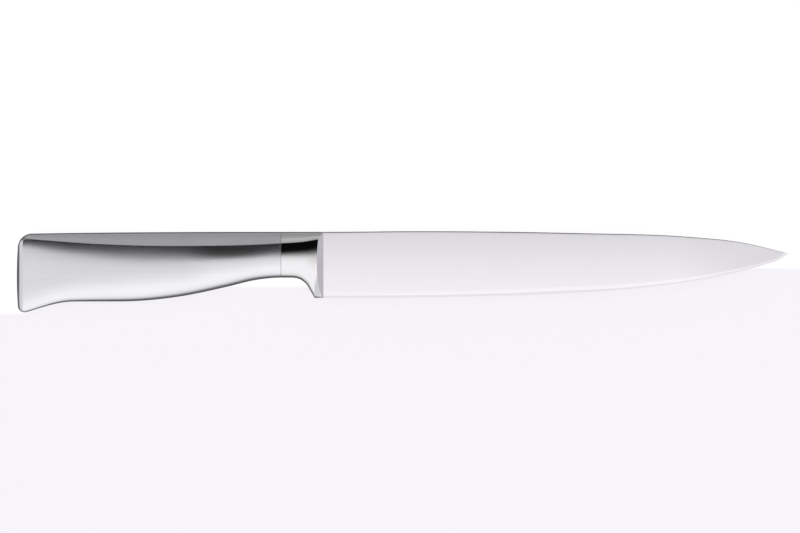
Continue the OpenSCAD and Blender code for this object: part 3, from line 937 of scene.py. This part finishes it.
class KNIFE_OT_stage(bpy.types.Operator):
    """Floor, studio surroundings, soft lamp and camera"""

    bl_idname = "knife.stage"
    bl_label = "Studio"

    # Size of the soft lamp, its height over the floor and its power
    LAMP_SIZE, LAMP_HEIGHT, LAMP_POWER = 2.0, 1.6, 13.0

    # Half width of the floor and its squares along a side
    FLOOR_HALF, SQUARES = 3.0, 8

    # The line, as x and y, where the pale paper ends and the white paper begins: lowest beside the butt,
    # level behind the neck and highest past the tip. PAPER_HALF is the reach of the line along x, PAPER_LOW
    # and PAPER_HIGH are two y that take it in, and PAPER_BLUR is how softly the papers meet.
    PAPER_EDGE = [
        (-0.164, -0.0181), (-0.1475, -0.0122), (-0.087, -0.00645), (-0.031, -0.00645), (0.154, 0.0015),
    ]
    PAPER_HALF, PAPER_LOW, PAPER_HIGH, PAPER_BLUR = 0.172, -0.02, 0.01, 0.0013

    # In the steel, the paper's glow begins on rays of the first of these lengths, grows over the second and
    # stops at the third, a share
    GLOW_FROM, GLOW_OVER, GLOW_MOST = 0.015, 0.35, 0.5

    # Brightness round the knife's length, by degrees from straight up towards the spine's side
    ROUND = [
        (-180, 0.3), (-120, 0.4), (-90, 0.55), (-75, 0.8), (-60, 1.0), (-40, 1.12), (-25, 1.17), (-15, 1.17),
        (-8, 1.15), (-6, 1.12), (-4, 1.03), (-2, 0.9), (0, 0.75), (2, 0.55), (4, 0.33), (6, 0.15), (8, 0.04),
        (10, 0.003), (46, 0.003), (56, 0.2), (70, 0.28), (82, 0.31), (90, 0.45), (180, 0.2),
    ]

    # Brightness off towards both ends of the knife, and the one that the world's colours are shares of
    EVEN = 0.8
    STRONGEST = 1.2

    # The x of the directions where that even grey has taken over, towards the tip and towards the butt, and
    # the span of x over which it does so
    TIPWARD, BUTTWARD, FADE = 0.62, 0.5, 0.14

    def execute(self, context):
        light = context.scene.knife_light
        self.floor(light)
        self.surroundings()
        lamp = bpy.data.lights.new("soft lamp", "AREA")
        lamp.shape, lamp.size, lamp.energy = "SQUARE", self.LAMP_SIZE, self.LAMP_POWER
        hung = bpy.data.objects.new("soft lamp", lamp)
        hung.location = (0, 0, self.LAMP_HEIGHT)
        hung.visible_glossy = False
        context.scene.collection.objects.link(hung)
        camera = bpy.data.cameras.new("camera")
        camera.type, camera.ortho_scale = "ORTHO", light.view_w
        camera.clip_start, camera.clip_end = 0.01, 20
        seen = bpy.data.objects.new("camera", camera)
        seen.location = (light.view_x, light.view_y, 1)
        context.scene.collection.objects.link(seen)
        context.scene.camera = seen
        context.scene.view_settings.view_transform = "Standard"
        return {"FINISHED"}

    def floor(self, light):
        """A wide level sheet, a grid of even squares. Its paper is pale below a slanting line that runs
        behind the knife and white above it, and glows to the camera and in the steel."""
        side = np.linspace(-self.FLOOR_HALF, self.FLOOR_HALF, self.SQUARES + 1)
        x, y = np.meshgrid(side, side, indexing="ij")
        i, j = np.meshgrid(np.arange(self.SQUARES), np.arange(self.SQUARES), indexing="ij")
        corner = i * len(side) + j
        quads = np.stack([corner, corner + len(side), corner + len(side) + 1, corner + 1], -1).reshape(-1, 4)
        mesh = bpy.data.meshes.new("floor")
        mesh.from_pydata(np.stack([x, y, 0 * x], -1).reshape(-1, 3).tolist(), [], quads.tolist())
        sheet = bpy.data.objects.new("floor", mesh)
        bpy.context.scene.collection.objects.link(sheet)
        made, g = material("floor paper")
        mesh.materials.append(made)
        split = g.node("ShaderNodeSeparateXYZ", _0=g.wire("ShaderNodeTexCoord", "Object"))
        px, py = Wire(g, split.outputs[0]), Wire(g, split.outputs[1])
        low, high, half = self.PAPER_LOW, self.PAPER_HIGH, self.PAPER_HALF
        stops = [((x + half) / (2 * half), (y - low) / (high - low)) for x, y in self.PAPER_EDGE]
        edge = g.wire("ShaderNodeValToRGB", 0, {"stops": stops}, Fac=(px + half) / (2 * half))
        above = ((py - (edge * (high - low) + low)) / self.PAPER_BLUR + 0.5).clamped()
        glow = blend_colours(g, above, light.paper_low, light.paper)
        path = g.node("ShaderNodeLightPath")
        camera, glossy, through, reach = [
            Wire(g, path.outputs[name])
            for name in ("Is Camera Ray", "Is Glossy Ray", "Is Transmission Ray", "Ray Length")
        ]
        # In the steel the glow grows with the length of the ray: a short one ends in the knife's shadow
        far = ((reach - self.GLOW_FROM) / self.GLOW_OVER).at_most(self.GLOW_MOST).clamped()
        seen = (camera + glossy * far + through).clamped()
        surface = g.wire(
            "ShaderNodeBsdfPrincipled", 0, Base_Color=(*light.floor, 1), Roughness=0.9,
            Specular_IOR_Level=0.0, Emission_Color=glow, Emission_Strength=seen,
        )
        g.node("ShaderNodeOutputMaterial", _0=surface)

    def surroundings(self):
        """Square to the knife's length, a soft box overhead and on the edge's side, a black card over the
        spine's side and a grey horizon: a ramp over the angle round the length. Off towards both ends an
        even grey takes over."""
        world = bpy.data.worlds.new("studio")
        bpy.context.scene.world = world
        world.use_nodes = True
        g = Graph(world.node_tree)
        split = g.node("ShaderNodeSeparateXYZ", _0=g.wire("ShaderNodeTexCoord", "Generated"))
        x, y, z = [Wire(g, output) for output in split.outputs]
        turn = y.maths("ARCTAN2", y, z) / (2 * math.pi) + 0.5
        stops = [((degrees + 180) / 360, bright / self.STRONGEST) for degrees, bright in self.ROUND]
        ramp = g.wire("ShaderNodeValToRGB", 0, {"stops": stops}, Fac=turn)
        square = ((self.TIPWARD - x) / self.FADE).clamped() * ((x + self.BUTTWARD) / self.FADE).clamped()
        seen = blend_colours(g, square, [self.EVEN / self.STRONGEST] * 3, ramp)
        back = g.wire("ShaderNodeBackground", 0, Color=seen, Strength=self.STRONGEST)
        g.node("ShaderNodeOutputWorld", _0=back)


class KNIFE_PT_panel(bpy.types.Panel):
    """Sizes, finishes and pieces of the knife"""

    bl_idname = "KNIFE_PT_panel"
    bl_label = "Carving knife"
    bl_space_type = "VIEW_3D"
    bl_region_type = "UI"
    bl_category = "Knife"

    def draw(self, context):
        for operator in OPERATORS:
            self.layout.operator(operator.bl_idname)
        for name in GROUPS:
            box = self.layout.box()
            group = getattr(context.scene, name)
            for value in group.__annotations__:
                box.prop(group, value)


GROUPS = {
    "knife_blade": BladeSizes,
    "knife_handle": HandleSizes,
    "knife_finish": SteelFinish,
    "knife_light": StudioLight,
}
OPERATORS = [KNIFE_OT_blade, KNIFE_OT_shells, KNIFE_OT_end_cap, KNIFE_OT_weight, KNIFE_OT_stage]
CLASSES = [*GROUPS.values(), *OPERATORS, KNIFE_PT_panel]


def register():
    for made in CLASSES:
        bpy.utils.register_class(made)
    for name, group in GROUPS.items():
        setattr(bpy.types.Scene, name, PointerProperty(type=group))


def unregister():
    for name in GROUPS:
        delattr(bpy.types.Scene, name)
    for made in reversed(CLASSES):
        bpy.utils.unregister_class(made)


def main():
    register()
    bpy.ops.knife.blade()
    bpy.ops.knife.shells()
    bpy.ops.knife.end_cap()
    bpy.ops.knife.weight()
    bpy.ops.knife.stage()
    bpy.context.view_layer.update()


if __name__ == "__main__":
    main()
